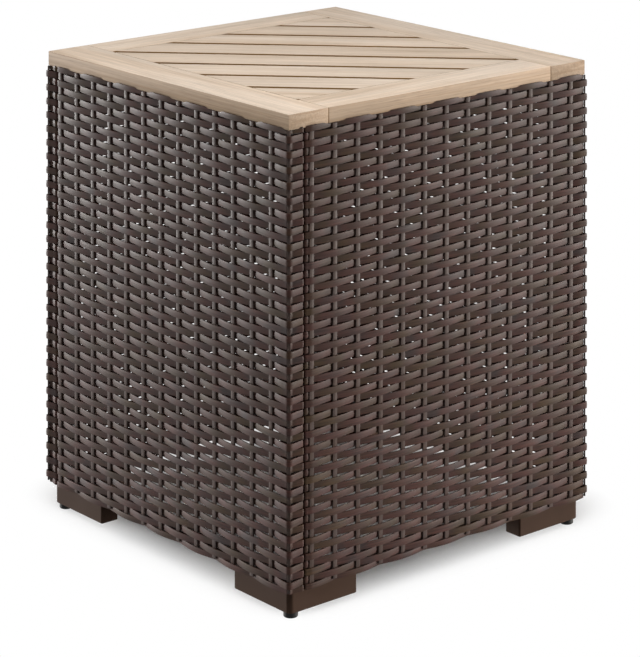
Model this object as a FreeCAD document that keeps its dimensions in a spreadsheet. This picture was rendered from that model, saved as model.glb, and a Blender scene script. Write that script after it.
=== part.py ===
import FreeCAD
import Part
import Sketcher
import math
import os
import re

# Patio table that stands over a propane tank. Four woven panels on tube frames are bolted
# together in a pinwheel: each panel wraps its own corner post and butts against its
# neighbour's. The panels stand on four L-shaped feet with levelling pads, and a slatted
# wooden top rests on them.
# +Z is up, the floor is z = 0 and the middle of the floor plan is the origin. The front
# panel faces -Y and the right panel faces +X.

SIZES = [
    ("table_side", "450", "side of the square top"),
    ("table_height", "543", "floor to the top's upper face"),
    ("top_thickness", "17", "thickness of the top's boards"),
    ("through_rail_width", "56", "front and back rails of the top"),
    ("cross_rail_width", "52", "left and right rails of the top"),
    ("slat_count", "8", "diagonal boards, the two corner triangles among them"),
    ("slat_gap", "6.2", "open gap between two slats"),
    ("slat_end_gap", "0.3", "hairline between a slat's end and a rail"),
    ("edge_break", "0.8", "chamfer on the top's outer upper edges"),
    ("batten_inset", "110", "top's side to the middle of a batten"),
    ("batten_width", "30", "batten under the slats"),
    ("batten_height", "20", "battens and cleats"),
    ("cleat_width", "28", "cleat under a side rail"),
    ("cleat_setback", "16.4", "cleat's end to where a batten ends"),
    ("locating_play", "2", "batten ends and cleats to the insides of the panels"),
    ("dowel_radius", "4", "wooden dowels of the top's frame"),
    ("dowel_length", "40", "half of it in each rail"),
    ("dowel_spacing", "26", "two dowels in one joint"),
    ("dowel_play", "0.05", "radial play of a dowel, and at each end"),
    ("dowel_chamfer", "0.8", "broken ends of a dowel"),
    ("screw_radius", "2", "wood screw shank"),
    ("screw_length", "31", "wood screw, head included"),
    ("screw_head_radius", "3.8", "wood screw head"),
    ("screw_head_height", "2.4", "countersunk cone"),
    ("screw_play", "0.05", "radial play of a screw in its hole"),
    ("batten_screw_inset", "18", "screw at a batten's end, from the rail's inner edge"),
    ("cleat_screw_inset", "9", "screw at a cleat's end, from the rail's inner edge"),
    ("cleat_screw_spread", "0.75", "outer screws in a side rail, as a share of half the window"),
    ("weave_overhang", "2", "outside of the weave beyond the top's side"),
    ("strand_thickness", "1.2", "flat strand of the weave"),
    ("stake_thickness", "3", "upright stake that the strands pass over and under"),
    ("row_pitch", "8.2", "one row of strands"),
    ("row_step", "2.4", "height of the slanted step between two rows"),
    ("stake_pitch", "32.9", "one stake to the next"),
    ("stake_inset", "8", "a panel's left end to its first stake"),
    ("stake_corner_gap", "20", "least room between the last stake and the corner"),
    ("weave_corner", "0.8", "how far the rows' outer corner is pressed in"),
    ("front_tube_depth", "16", "front and back frame tubes, outside to inside"),
    ("side_tube_depth", "12", "left and right frame tubes, outside to inside"),
    ("tube_width", "16", "frame tubes, along the panel"),
    ("tube_wall", "1.2", "frame tube wall"),
    ("tube_corner", "1.5", "outer corner radius of a tube"),
    ("seam_gap", "2", "dark seam between a panel and its neighbour's strip"),
    ("top_seat_gap", "0.3", "running gap under the lift-off top"),
    ("bumper_thickness", "1", "rubber bumper on a top rail"),
    ("bumper_radius", "4.5", "rubber bumper"),
    ("bumper_spacing", "240", "two bumpers on one rail"),
    ("bolt_radius", "3", "corner bolt"),
    ("bolt_play", "0.3", "radial play of a bolt in its holes"),
    ("bolt_head_radius", "4.8", "button head"),
    ("bolt_head_height", "3.2", "button head"),
    ("bolt_head_flat_radius", "2.9", "flat end of the button head"),
    ("bolt_head_rim", "1.1", "straight rim of the button head"),
    ("bolt_end_gap", "0.5", "bolt's end inside its insert"),
    ("bolt_socket_radius", "2.3", "hexagon socket, corner to corner radius"),
    ("bolt_socket_depth", "2", "hexagon socket"),
    ("bolt_margin", "70", "outer bolts from the frame's ends"),
    ("insert_flange_radius", "5.5", "threaded insert in a corner post"),
    ("insert_flange", "0.8", "its flange"),
    ("insert_radius", "4.4", "its barrel"),
    ("insert_length", "6.4", "its barrel, inside the tube"),
    ("ground_clearance", "6.3", "foot block above the floor"),
    ("foot_height", "24.2", "foot block, up to the panels"),
    ("foot_inset", "5.6", "foot block's outer faces inside the top's sides"),
    ("foot_leg", "95.5", "leg of the L, outer corner to end"),
    ("foot_depth", "22.5", "width of the L's legs"),
    ("foot_corner", "6", "radius of the foot's outer corner"),
    ("foot_end_corner", "2", "radius of the upright outer edges at its ends"),
    ("foot_chamfer", "0.8", "lower edges of the foot"),
    ("foot_screw_place", "62", "foot screw from the L's outer corner, along the leg"),
    ("foot_screw_edge", "5.4", "foot screw from the leg's outer face"),
    ("foot_screw_radius", "2", "foot screw shank"),
    ("foot_screw_reach", "8", "foot screw into the frame"),
    ("foot_screw_head_radius", "3.7", "pan head, in a counterbore"),
    ("foot_screw_head_height", "2.6", "pan head"),
    ("stud_hole_play", "0.6", "radial play of the stud above its socket"),
    ("foot_counterbore_depth", "8", "counterbore for the pan head"),
    ("leveller_edge", "9.7", "levelling foot's axis from the block's outer faces"),
    ("socket_radius", "5.5", "threaded socket in the foot"),
    ("socket_length", "14", "threaded socket, flange included"),
    ("socket_flange_radius", "7.2", "flange at the socket's mouth"),
    ("socket_flange", "1", "flange thickness"),
    ("stud_radius", "4", "levelling stud"),
    ("stud_play", "0.06", "radial play in the socket's thread"),
    ("stud_end_gap", "0.8", "stud's end below the frame"),
    ("stud_chamfer", "0.8", "stud's upper end"),
    ("stud_seat_depth", "3.5", "stud inside the pad"),
    ("stud_collar_radius", "5", "collar that the pad is moulded round"),
    ("stud_collar_height", "1.6", "collar thickness"),
    ("pad_radius", "8", "levelling pad"),
    ("pad_gap", "0.3", "pad to the block when screwed fully in"),
    ("pad_round", "1.4", "radius of the pad's lower edge"),
]

# Places that many pieces share, worked out in the sheet from the sizes above.
SHARED_PLACES = [
    ("weave_face", "=table_side / 2 + weave_overhang", "outside of the weave"),
    ("frame_face", "=weave_face - 2 * strand_thickness - stake_thickness", "outside of the tubes"),
    ("under_face", "=frame_face + strand_thickness", "outside of a strand where it goes under a stake"),
    ("seam_face", "=(weave_face + under_face) / 2", "outside of the strands at a seam, half way out"),
    ("foot_face", "=table_side / 2 - foot_inset", "outside of the foot blocks"),
    ("leveller_place", "=foot_face - leveller_edge", "levelling foot's axis"),
    ("frame_low", "=ground_clearance + foot_height", "lower end of the panels"),
    ("top_under", "=table_height - top_thickness", "underside of the top's boards"),
    ("weave_high", "=top_under - top_seat_gap", "upper end of the weave"),
    ("frame_high", "=weave_high - bumper_thickness", "upper end of the tubes"),
    ("batten_place", "=table_side / 2 - batten_inset", "middle of a batten"),
    ("batten_end", "=frame_face - front_tube_depth - strand_thickness - locating_play", "batten's end"),
    ("cleat_face", "=frame_face - side_tube_depth - strand_thickness - locating_play", "cleat's outer face"),
    ("cleat_end", "=batten_end - cleat_setback", "cleat's end"),
    ("window_x", "=table_side / 2 - cross_rail_width", "half the window that the slats fill"),
    ("window_y", "=table_side / 2 - through_rail_width", "half the window that the slats fill"),
    ("window_diagonal", "=2 * hypot(window_x; window_y)", "corner to corner of that window"),
    ("slat_pitch", "=8 * window_x * window_y / window_diagonal / slat_count", "one slat and one gap"),
]

ROWS = SIZES + SHARED_PLACES
ALIASES = [alias for alias, _value, _note in ROWS]

doc = FreeCAD.newDocument("TankCoverTable")
sheet = doc.addObject("Spreadsheet::Sheet", "Sizes")
for row, (alias, value, note) in enumerate(ROWS, start=1):
    sheet.set(f"A{row}", note)
    sheet.set(f"B{row}", value)
    sheet.setAlias(f"B{row}", alias)
doc.recompute()


def formula(text):
    """Turns each size's name in a formula into its cell in the sheet."""

    def cell(word):
        return f"Sizes.{word.group()}" if word.group() in ALIASES else word.group()

    return re.sub(r"\b[a-z_]+\b", cell, text)


def size(alias):
    """The number in one cell, for shapes that no expression can drive."""
    return float(sheet.get(alias))


def bind(item, prop, text):
    item.setExpression(prop, formula(text))


# Side name, quarter turns from the front, own tube depth, the left neighbour's tube depth.
PANELS = [
    ("front", 0, "front_tube_depth", "side_tube_depth"),
    ("right", 1, "side_tube_depth", "front_tube_depth"),
    ("back", 2, "front_tube_depth", "side_tube_depth"),
    ("left", 3, "side_tube_depth", "front_tube_depth"),
]

nodes = []


UP = FreeCAD.Vector(0, 0, 1)
ALONG = FreeCAD.Vector(1, 0, 0)
INWARD = FreeCAD.Vector(0, 1, 0)


def turned(quarter_turns):
    return FreeCAD.Placement(FreeCAD.Vector(), FreeCAD.Rotation(UP, 90 * quarter_turns))


def placed(quarter_turns, point, direction=UP):
    """A piece drawn upright, set at a point of the front side and turned to its own side."""
    spot = FreeCAD.Placement(FreeCAD.Vector(*point), FreeCAD.Rotation(UP, direction))
    return turned(quarter_turns).multiply(spot)


def finish(item, node, quarter_turns=0):
    """Names a finished piece and turns it from the front to its own side."""
    item.Label = node
    item.Placement = turned(quarter_turns)
    nodes.append(item)
    return item


# Part primitives and booleans


def box(name, length, width, height, x, y, z):
    item = doc.addObject("Part::Box", name)
    bind(item, "Length", length)
    bind(item, "Width", width)
    bind(item, "Height", height)
    bind(item, "Placement.Base.x", x)
    bind(item, "Placement.Base.y", y)
    bind(item, "Placement.Base.z", z)
    return item


def cylinder(name, radius, height, x, y, z, direction=UP):
    item = doc.addObject("Part::Cylinder", name)
    bind(item, "Radius", radius)
    bind(item, "Height", height)
    item.Placement = FreeCAD.Placement(FreeCAD.Vector(), FreeCAD.Rotation(UP, direction))
    bind(item, "Placement.Base.x", x)
    bind(item, "Placement.Base.y", y)
    bind(item, "Placement.Base.z", z)
    return item


def fuse(name, items):
    item = doc.addObject("Part::MultiFuse", name)
    item.Shapes = items
    return item


def cut(name, base, tool):
    item = doc.addObject("Part::Cut", name)
    item.Base = base
    item.Tool = tool
    return item


def common(name, base, tool):
    item = doc.addObject("Part::Common", name)
    item.Base = base
    item.Tool = tool
    return item


def shape_feature(name, shape):
    item = doc.addObject("Part::Feature", name)
    item.Shape = shape
    return item


# PartDesign sketches


def origin_plane(body, role):
    return next(plane for plane in body.Origin.OriginFeatures if plane.Role == role)


def new_sketch(body, name, role):
    sketch = body.newObject("Sketcher::SketchObject", name)
    sketch.AttachmentSupport = [(origin_plane(body, role), "")]
    sketch.MapMode = "FlatFace"
    return sketch


def pin_point(sketch, geometry, end, across, up):
    """Holds one point of a sketch at two formulas from the sketch's origin."""
    for kind, text in (("DistanceX", across), ("DistanceY", up)):
        number = sketch.addConstraint(Sketcher.Constraint(kind, -1, 1, geometry, end, 1.0))
        bind(sketch, f"Constraints[{number}]", text)


# A new outline starts as a regular polygon of this radius, before its points are pinned.
START_RADIUS = 10


def add_outline(sketch, points):
    """Closed outline of straight lines through points given as formulas."""
    count = len(points)
    first = sketch.GeometryCount
    start = []
    for i in range(count):
        angle = 2 * math.pi * i / count
        start.append(FreeCAD.Vector(START_RADIUS * math.cos(angle), START_RADIUS * math.sin(angle), 0))
    for i in range(count):
        sketch.addGeometry(Part.LineSegment(start[i], start[(i + 1) % count]), False)
    for i in range(count):
        sketch.addConstraint(Sketcher.Constraint("Coincident", first + i, 2, first + (i + 1) % count, 1))
    for i, (across, up) in enumerate(points):
        pin_point(sketch, first + i, 1, across, up)


def pad_up(body, sketch, length, start):
    """Pad along the sketch's normal, from a plane at the given formula."""
    bind(sketch, "AttachmentOffset.Base.z", start)
    pad = body.newObject("PartDesign::Pad", "Pad")
    pad.Profile = sketch
    bind(pad, "Length", length)
    doc.recompute()
    return pad


def dress(body, kind, base, edges, prop, text):
    """Fillet or chamfer on the edges of a feature that a test picks."""
    names = [f"Edge{i}" for i, edge in enumerate(base.Shape.Edges, start=1) if edges(edge)]
    feature = body.newObject(kind, kind.split("::")[1])
    feature.Base = (base, names)
    bind(feature, prop, text)
    doc.recompute()
    return feature


SAME_PLACE = 0.01


def close(a, b):
    return abs(a - b) < SAME_PLACE


def revolved(name, points):
    """Solid of revolution about the upright axis, from its half section."""
    body = doc.addObject("PartDesign::Body", name)
    sketch = new_sketch(body, name + "Section", "XZ_Plane")
    add_outline(sketch, points)
    turn = body.newObject("PartDesign::Revolution", name + "Turn")
    turn.Profile = sketch
    turn.ReferenceAxis = (sketch, ["V_Axis"])
    turn.Angle = 360
    doc.recompute()
    return body, turn


def copies_at(name, master, places):
    """Identical pieces, each a separate solid at its own place."""
    copies = []
    for place in places:
        copy = master.Shape.copy()
        copy.Placement = place.multiply(copy.Placement)
        copies.append(copy)
    return shape_feature(name, Part.makeCompound(copies))


# The frames: welded tubes behind each panel. Everything here is drawn for the front panel
# and then turned to its side.


def tube_body(name, role, first, second, start, length):
    """Hollow rounded tube between two corners of its section."""
    body = doc.addObject("PartDesign::Body", name)
    sketch = new_sketch(body, name + "Section", role)
    (left, low), (right, high) = first, second
    add_outline(sketch, [(left, low), (right, low), (right, high), (left, high)])
    wall = "tube_wall"
    inner = [(f"{left} + {wall}", f"{low} + {wall}"), (f"{right} - {wall}", f"{low} + {wall}"),
             (f"{right} - {wall}", f"{high} - {wall}"), (f"{left} + {wall}", f"{high} - {wall}")]
    add_outline(sketch, inner)
    pad = pad_up(body, sketch, length, start)
    bounds = pad.Shape.BoundBox

    def run(box_of):
        return box_of.ZLength if role == "XY_Plane" else box_of.XLength

    def on_corner(edge):
        middle = edge.CenterOfMass
        hits = [close(middle.x, bounds.XMin) or close(middle.x, bounds.XMax),
                close(middle.y, bounds.YMin) or close(middle.y, bounds.YMax),
                close(middle.z, bounds.ZMin) or close(middle.z, bounds.ZMax)]
        return sum(hits) == 2 and close(run(edge.BoundBox), run(bounds))

    dress(body, "PartDesign::Fillet", pad, on_corner, "Radius", "tube_corner")
    return body


def bolt_levels():
    low = size("frame_low") + size("bolt_margin")
    high = size("top_under") - size("bolt_margin")
    return [low, (low + high) / 2, high]


def across_panel(name, radius, start, length, side):
    """Cylinders along a panel at the bolts' levels, through its left post."""
    return [
        cylinder(f"{name}{i}", radius, length, start, side, str(level), ALONG)
        for i, level in enumerate(bolt_levels())
    ]


def into_corner_post(name, radius, start, length, next_depth):
    """Cylinders square to a panel at the bolts' levels, where the neighbour's bolts come in."""
    return [
        cylinder(f"{name}{i}", radius, length, f"frame_face - {next_depth} / 2", start, str(level), INWARD)
        for i, level in enumerate(bolt_levels())
    ]


def left_end(next_depth):
    """Where a panel starts beside its left neighbour's wrapped corner."""
    return f"(-frame_face + {next_depth} + strand_thickness + seam_gap)"


def build_frame(side, turns, depth, next_depth):
    post_left = f"({left_end(next_depth)} + strand_thickness)"
    post_right = f"({post_left} + tube_width)"
    corner_left = "(frame_face - tube_width)"
    outer = "(-frame_face)"
    inner = f"(-frame_face + {depth})"
    height = "frame_high - frame_low"

    near, far = (post_left, outer), (post_right, inner)
    post = tube_body(f"{side}LeftPost", "XY_Plane", near, far, "frame_low", height)
    holes = fuse(f"{side}LeftPostHoles", across_panel(
        f"{side}LeftPostHole", "bolt_radius + bolt_play", f"{post_left} - 1", "tube_width + 2",
        f"{outer} + {depth} / 2"))
    finish(cut(f"{side}LeftPostCut", post, holes), f"{side}_left_post", turns)

    near, far = (corner_left, outer), ("frame_face", inner)
    corner = tube_body(f"{side}CornerPost", "XY_Plane", near, far, "frame_low", height)
    holes = fuse(f"{side}CornerPostHoles", into_corner_post(
        f"{side}CornerPostHole", "insert_radius", f"{inner} - tube_wall - 1", "tube_wall + 2", next_depth))
    finish(cut(f"{side}CornerPostCut", corner, holes), f"{side}_corner_post", turns)

    length = f"{corner_left} - {post_right}"
    for name, low in (("top_rail", "(frame_high - tube_width)"), ("bottom_rail", "frame_low")):
        near, far = (outer, low), (inner, f"({low} + tube_width)")
        tube = tube_body(f"{side}{name}", "YZ_Plane", near, far, post_right, length)
        if name == "bottom_rail":
            tube = cut(f"{side}BottomRailCut", tube, fuse(f"{side}BottomRailHoles", frame_screw_holes(side)))
        finish(tube, f"{side}_panel_{name}", turns)


def frame_screw_holes(side):
    """Holes in a bottom rail's lower wall for the two feet's screws."""
    across = "-foot_face + foot_screw_edge"
    places = ("foot_face - foot_screw_place", "foot_screw_place - foot_face")
    radius = "foot_screw_radius + screw_play"
    return [
        cylinder(f"{side}FootScrewHole{i}", radius, "tube_wall + 2", place, across, "frame_low - 1")
        for i, place in enumerate(places)
    ]


# The weave: rows of strands that go over one stake and under the next, in one sheet for each
# panel. Where a row goes over a stake, the rows above and below it go under. A sheet wraps its
# corner post and its left post and is tucked in behind both.


def strand_line(over_first, start, seam):
    """Plan points along the outside of one row: left end, stakes, corner, seam."""
    over, under, middle = size("weave_face"), size("under_face"), size("seam_face")
    points = [(start, -middle)]
    place = start + size("stake_inset")
    is_over = over_first
    while place < over - size("stake_corner_gap"):
        points.append((place, -over if is_over else -under))
        place += size("stake_pitch")
        is_over = not is_over
    corner = over - size("weave_corner") if is_over else under
    return points + [(corner, -corner), (middle, seam)]


def row_levels():
    """Lower and upper edge of each row, up to a part row under the table's top."""
    low, high, step = size("frame_low"), size("weave_high"), size("row_step")
    count = math.ceil((high - low - step) / size("row_pitch"))
    edges = [low + i * size("row_pitch") for i in range(count)] + [high]
    lowers = [low] + [edge + step / 2 for edge in edges[1:-1]]
    uppers = [edge - step / 2 for edge in edges[1:-1]] + [high]
    return list(zip(lowers, uppers))


def at_level(plan, level):
    return [FreeCAD.Vector(x, y, level) for x, y in plan]


def flat_face(points):
    return Part.Face(Part.makePolygon(points + points[:1]))


def woven_sheet(name, depth, next_depth):
    """Solid of one panel's weave: a stack of rows outside, flat walls behind them."""
    outer, thickness = -size("frame_face"), size("strand_thickness")
    start = outer + next_depth + thickness + size("seam_gap")
    post_left = start + thickness
    post_right = post_left + size("tube_width")
    corner_left = -outer - size("tube_width")
    inner = outer + depth
    tucked = inner + thickness
    behind = [(corner_left, tucked), (corner_left, inner), (-outer, inner), (-outer, outer),
              (post_left, outer), (post_left, inner), (post_right, inner), (post_right, tucked),
              (start, tucked)]
    lines = [strand_line(over_first, start, tucked) for over_first in (True, False)]

    rings = []
    for i, levels in enumerate(row_levels()):
        rings += [at_level(lines[i % 2], level) for level in levels]
    faces = []
    for number, (lower, upper) in enumerate(zip(rings, rings[1:])):
        for i in range(len(lower) - 1):
            corners = [lower[i], lower[i + 1], upper[i + 1], upper[i]]
            if number % 2:
                faces += [flat_face(corners[:3]), flat_face([corners[0], *corners[2:]])]
            else:
                faces.append(flat_face(corners))

    low, high = rings[0][0].z, rings[-1][0].z
    for first, second in zip(behind, behind[1:]):
        faces.append(flat_face(at_level([first, second], low) + at_level([second, first], high)))
    for end in (0, -1):
        wall = [FreeCAD.Vector(*behind[-1 - end], level) for level in (high, low)]
        faces.append(flat_face([ring[end] for ring in rings] + wall))
        faces.append(flat_face(rings[end] + at_level(behind, rings[end][0].z)))
    return shape_feature(name, Part.makeSolid(Part.makeShell(faces)))


def build_weave(side, turns, depth, next_depth):
    start = left_end(next_depth)
    inner = f"(-frame_face + {depth})"
    sheet_of_weave = woven_sheet(f"{side}WeaveSheet", size(depth), size(next_depth))
    bolt_holes = across_panel(
        f"{side}WeaveBoltHole", "bolt_radius + bolt_play", f"{start} - 1", "strand_thickness + 2",
        f"-frame_face + {depth} / 2")
    flange_holes = into_corner_post(
        f"{side}WeaveInsertHole", "insert_flange_radius + bolt_play", f"{inner} - 1", "strand_thickness + 2",
        next_depth)
    finish(cut(f"{side}WeaveCut", sheet_of_weave, fuse(f"{side}WeaveHoles", bolt_holes + flange_holes)),
           f"{side}_weave", turns)


# Corner hardware: bolts from each left post into the neighbour's corner post.


def corner_joints(setback):
    """The bolts' axes, each from its own panel towards the neighbour's corner post."""
    places = []
    for _side, turns, depth, next_depth in PANELS:
        x = -size("frame_face") + size(next_depth) + setback
        y = -size("frame_face") + size(depth) / 2
        for level in bolt_levels():
            places.append(placed(turns, (x, y, level), -ALONG))
    return places


def build_corner_bolts():
    reach = "(tube_width + 2 * strand_thickness + seam_gap + insert_length)"
    bolt, turn = revolved("CornerBolt", [
        ("0", "-bolt_head_height"), ("bolt_head_flat_radius", "-bolt_head_height"),
        ("bolt_head_radius", "-bolt_head_rim"), ("bolt_head_radius", "0"),
        ("bolt_radius", "0"), ("bolt_radius", f"{reach} - bolt_end_gap"), ("0", f"{reach} - bolt_end_gap")])
    socket = new_sketch(bolt, "BoltSocket", "XY_Plane")
    corners = [math.pi / 3 * i for i in range(6)]
    add_outline(socket, [
        (f"bolt_socket_radius * {math.cos(angle):.6f}", f"bolt_socket_radius * {math.sin(angle):.6f}")
        for angle in corners
    ])
    bind(socket, "AttachmentOffset.Base.z", "-bolt_head_height")
    pocket = bolt.newObject("PartDesign::Pocket", "BoltSocketPocket")
    pocket.Profile = socket
    pocket.Reversed = True
    bind(pocket, "Length", "bolt_socket_depth")
    doc.recompute()
    if pocket.Shape.Volume >= turn.Shape.Volume:
        raise RuntimeError("the bolt's socket cuts nothing")
    setback = size("tube_width") + 2 * size("strand_thickness") + size("seam_gap")
    finish(copies_at("CornerBolts", bolt, corner_joints(setback)), "corner_bolts")


def build_corner_inserts():
    insert, _turn = revolved("CornerInsert", [
        ("bolt_radius + stud_play", "-insert_flange"), ("insert_flange_radius", "-insert_flange"),
        ("insert_flange_radius", "0"), ("insert_radius - screw_play", "0"),
        ("insert_radius - screw_play", "insert_length"), ("bolt_radius + stud_play", "insert_length")])
    finish(copies_at("CornerInserts", insert, corner_joints(0)), "corner_inserts")


# The feet: an L-shaped block under each corner, with a levelling foot.


CORNERS = [("front_right", 0), ("back_right", 1), ("back_left", 2), ("front_left", 3)]


def build_foot(corner, turns):
    body = doc.addObject("PartDesign::Body", f"{corner}Foot")
    sketch = new_sketch(body, f"{corner}FootPlan", "XY_Plane")
    add_outline(sketch, [
        ("foot_face - foot_leg", "-foot_face"),
        ("foot_face", "-foot_face"),
        ("foot_face", "foot_leg - foot_face"),
        ("foot_face - foot_depth", "foot_leg - foot_face"),
        ("foot_face - foot_depth", "foot_depth - foot_face"),
        ("foot_face - foot_leg", "foot_depth - foot_face"),
    ])
    pad = pad_up(body, sketch, "foot_height", "ground_clearance")
    bounds = pad.Shape.BoundBox

    def upright(edge):
        return close(edge.Length, bounds.ZLength) and close(edge.CenterOfMass.z, bounds.Center.z)

    def on_outsides(edge):
        middle = edge.CenterOfMass
        return close(middle.x, bounds.XMax) + close(middle.y, bounds.YMin)

    def outer_corner(edge):
        return upright(edge) and on_outsides(edge) == 2

    def outer_end(edge):
        at_end = close(edge.CenterOfMass.x, bounds.XMin) or close(edge.CenterOfMass.y, bounds.YMax)
        return upright(edge) and on_outsides(edge) == 1 and at_end

    def lower(edge):
        return close(edge.BoundBox.ZMax, bounds.ZMin)

    rounded = dress(body, "PartDesign::Fillet", pad, outer_corner, "Radius", "foot_corner")
    rounded = dress(body, "PartDesign::Fillet", rounded, outer_end, "Radius", "foot_end_corner")
    dress(body, "PartDesign::Chamfer", rounded, lower, "Size", "foot_chamfer")

    through = "foot_height + 1"
    screw_along, screw_across = "(foot_face - foot_screw_place)", "(foot_face - foot_screw_edge)"
    leveller = ("leveller_place", "-leveller_place")
    holes = [
        ("SocketHole", "socket_radius", "socket_length", leveller),
        ("FlangeHole", "socket_flange_radius + screw_play", "socket_flange", leveller),
        ("StudHole", "stud_radius + stud_hole_play", through, leveller),
    ]
    for i, spot in enumerate(((screw_along, f"-{screw_across}"), (screw_across, f"-{screw_along}"))):
        holes.append((f"ScrewHole{i}", "foot_screw_radius + screw_play", through, spot))
        head = "foot_screw_head_radius + screw_play"
        holes.append((f"Counterbore{i}", head, "foot_counterbore_depth", spot))
    tools = [
        cylinder(corner + name, radius, depth, x, y, "ground_clearance")
        for name, radius, depth, (x, y) in holes
    ]
    finish(cut(f"{corner}FootCut", body, fuse(f"{corner}FootHoles", tools)), f"foot_{corner}", turns)


def corner_places(points):
    """Placements of upright pieces, drawn for the front right corner, at all four corners."""
    return [placed(turns, point) for _corner, turns in CORNERS for point in points]


def build_foot_screws():
    reach = "(foot_height - foot_counterbore_depth + foot_screw_reach)"
    screw, _turn = revolved("FootScrew", [
        ("0", "-foot_screw_head_height"),
        ("foot_screw_head_radius", "-foot_screw_head_height"),
        ("foot_screw_head_radius", "0"),
        ("foot_screw_radius", "0"),
        ("foot_screw_radius", reach),
        ("0", reach),
    ])
    along = size("foot_face") - size("foot_screw_place")
    across = size("foot_face") - size("foot_screw_edge")
    level = size("ground_clearance") + size("foot_counterbore_depth")
    places = corner_places([(along, -across, level), (across, -along, level)])
    finish(copies_at("FootScrews", screw, places), "foot_screws")


def build_sockets():
    socket, _turn = revolved("StudSocket", [
        ("stud_radius + stud_play", "0"),
        ("socket_flange_radius", "0"),
        ("socket_flange_radius", "socket_flange"),
        ("socket_radius", "socket_flange"),
        ("socket_radius", "socket_length"),
        ("stud_radius + stud_play", "socket_length"),
    ])
    place = size("leveller_place")
    places = corner_places([(place, -place, size("ground_clearance"))])
    finish(copies_at("StudSockets", socket, places), "stud_sockets")


def build_leveller(corner, turns):
    height = "(ground_clearance - pad_gap)"
    seat = f"({height} - stud_seat_depth)"
    collar = f"({seat} + stud_collar_height)"
    pad, turn = revolved(f"{corner}Pad", [
        ("0", "0"), ("pad_radius", "0"), ("pad_radius", height), ("stud_radius", height),
        ("stud_radius", collar), ("stud_collar_radius", collar), ("stud_collar_radius", seat), ("0", seat)])

    def rim(edge):
        bounds = edge.BoundBox
        return close(bounds.ZMax, 0) and close(bounds.XMax, size("pad_radius")) and edge.Closed

    dress(pad, "PartDesign::Fillet", turn, rim, "Radius", "pad_round")
    top = "(frame_low - stud_end_gap)"
    stud, _turn = revolved(f"{corner}Stud", [
        ("0", seat), ("stud_collar_radius", seat), ("stud_collar_radius", collar), ("stud_radius", collar),
        ("stud_radius", f"{top} - stud_chamfer"), ("stud_radius - stud_chamfer", top), ("0", top)])
    place = size("leveller_place")
    for body, node in ((pad, f"levelling_pad_{corner}"), (stud, f"levelling_stud_{corner}")):
        finish(body, node)
        body.Placement = placed(turns, (place, -place, 0))


# The top: four rails, eight diagonal slats and the battens that carry them.


def slat_offset(number):
    """Distance of a slat's middle from the window's diagonal, towards the back left."""
    return (number - (size("slat_count") - 1) / 2) * size("slat_pitch")


def slat_span(number, x):
    """Lowest and highest y of one slat along a batten at x."""
    half_x, half_y, diagonal = size("window_x"), size("window_y"), size("window_diagonal") / 2
    reach = (size("slat_pitch") - size("slat_gap")) / 2
    ends = [((slat_offset(number) + sign * reach) * diagonal + half_y * x) / half_x for sign in (-1, 1)]
    return max(ends[0], -half_y), min(ends[1], half_y)


# A slat gets a screw from a batten only where the batten crosses this many head radii of it.
LEAST_CROSSING = 4


def batten_screw_points():
    """Screws through the right batten: one in each slat it crosses, one in each through rail."""
    x = size("batten_place")
    points = []
    for number in range(round(size("slat_count"))):
        low, high = slat_span(number, x)
        if high - low > LEAST_CROSSING * size("screw_head_radius"):
            points.append((x, (low + high) / 2))
    end = size("window_y") + size("batten_screw_inset")
    return points + [(x, -end), (x, end)]


def cleat_screw_points():
    """Screws through the right cleat: three in the side rail, one in each through rail."""
    x = size("cleat_face") - size("cleat_width") / 2
    end = size("window_y") + size("cleat_screw_inset")
    spread = size("window_y") * size("cleat_screw_spread")
    return [(x, y) for y in (0, -spread, spread, -end, end)]


def screw_places():
    level = size("top_under") - size("batten_height")
    points = batten_screw_points() + cleat_screw_points()
    return [placed(turns, (x, y, level)) for turns in (0, 2) for x, y in points]


def wood_screw(name, play):
    """Countersunk screw, head down, or with play the hole that takes it."""
    shank = f"(screw_radius + {play})"
    head = f"(screw_head_radius + {play})"
    body, _turn = revolved(name, [
        ("0", "0"), (head, "0"), (shank, "screw_head_height"),
        (shank, f"screw_length - screw_radius + {play}"), ("0", f"screw_length + {play}")])
    return body


def dowel_places():
    joint = size("table_side") / 2 - size("cross_rail_width") / 2
    level = size("table_height") - size("top_thickness") / 2
    start = size("window_y") - size("dowel_length") / 2
    places = []
    for turns in (0, 2):
        for sign in (-1, 1):
            for mirror in (-1, 1):
                x = joint + sign * size("dowel_spacing") / 2
                places.append(placed(turns, (x, mirror * start, level), mirror * INWARD))
    return places


def dowel(name, play):
    """Dowel with broken ends, or with play the pair of blind holes that takes it."""
    radius = f"(dowel_radius + {play})"
    tip = f"({radius} - dowel_chamfer)"
    far = f"dowel_length + {play}"
    body, _turn = revolved(name, [
        ("0", f"-{play}"), (tip, f"-{play}"), (radius, "dowel_chamfer"),
        (radius, "dowel_length - dowel_chamfer"), (tip, far), ("0", far)])
    return body


def rail(name, node, first, second, tools, turns):
    """One rail of the top, its outer upper edges broken and its holes drilled."""
    body = doc.addObject("PartDesign::Body", name)
    sketch = new_sketch(body, name + "Plan", "XY_Plane")
    (left, front), (right, back) = first, second
    add_outline(sketch, [(left, front), (right, front), (right, back), (left, back)])
    pad = pad_up(body, sketch, "top_thickness", "top_under")
    half = size("table_side") / 2
    height = size("table_height")

    def outer_upper(edge):
        middle = edge.CenterOfMass
        return close(middle.z, height) and (close(abs(middle.x), half) or close(abs(middle.y), half))

    dress(body, "PartDesign::Chamfer", pad, outer_upper, "Size", "edge_break")
    finish(cut(name + "Cut", body, tools), node, turns)


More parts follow.
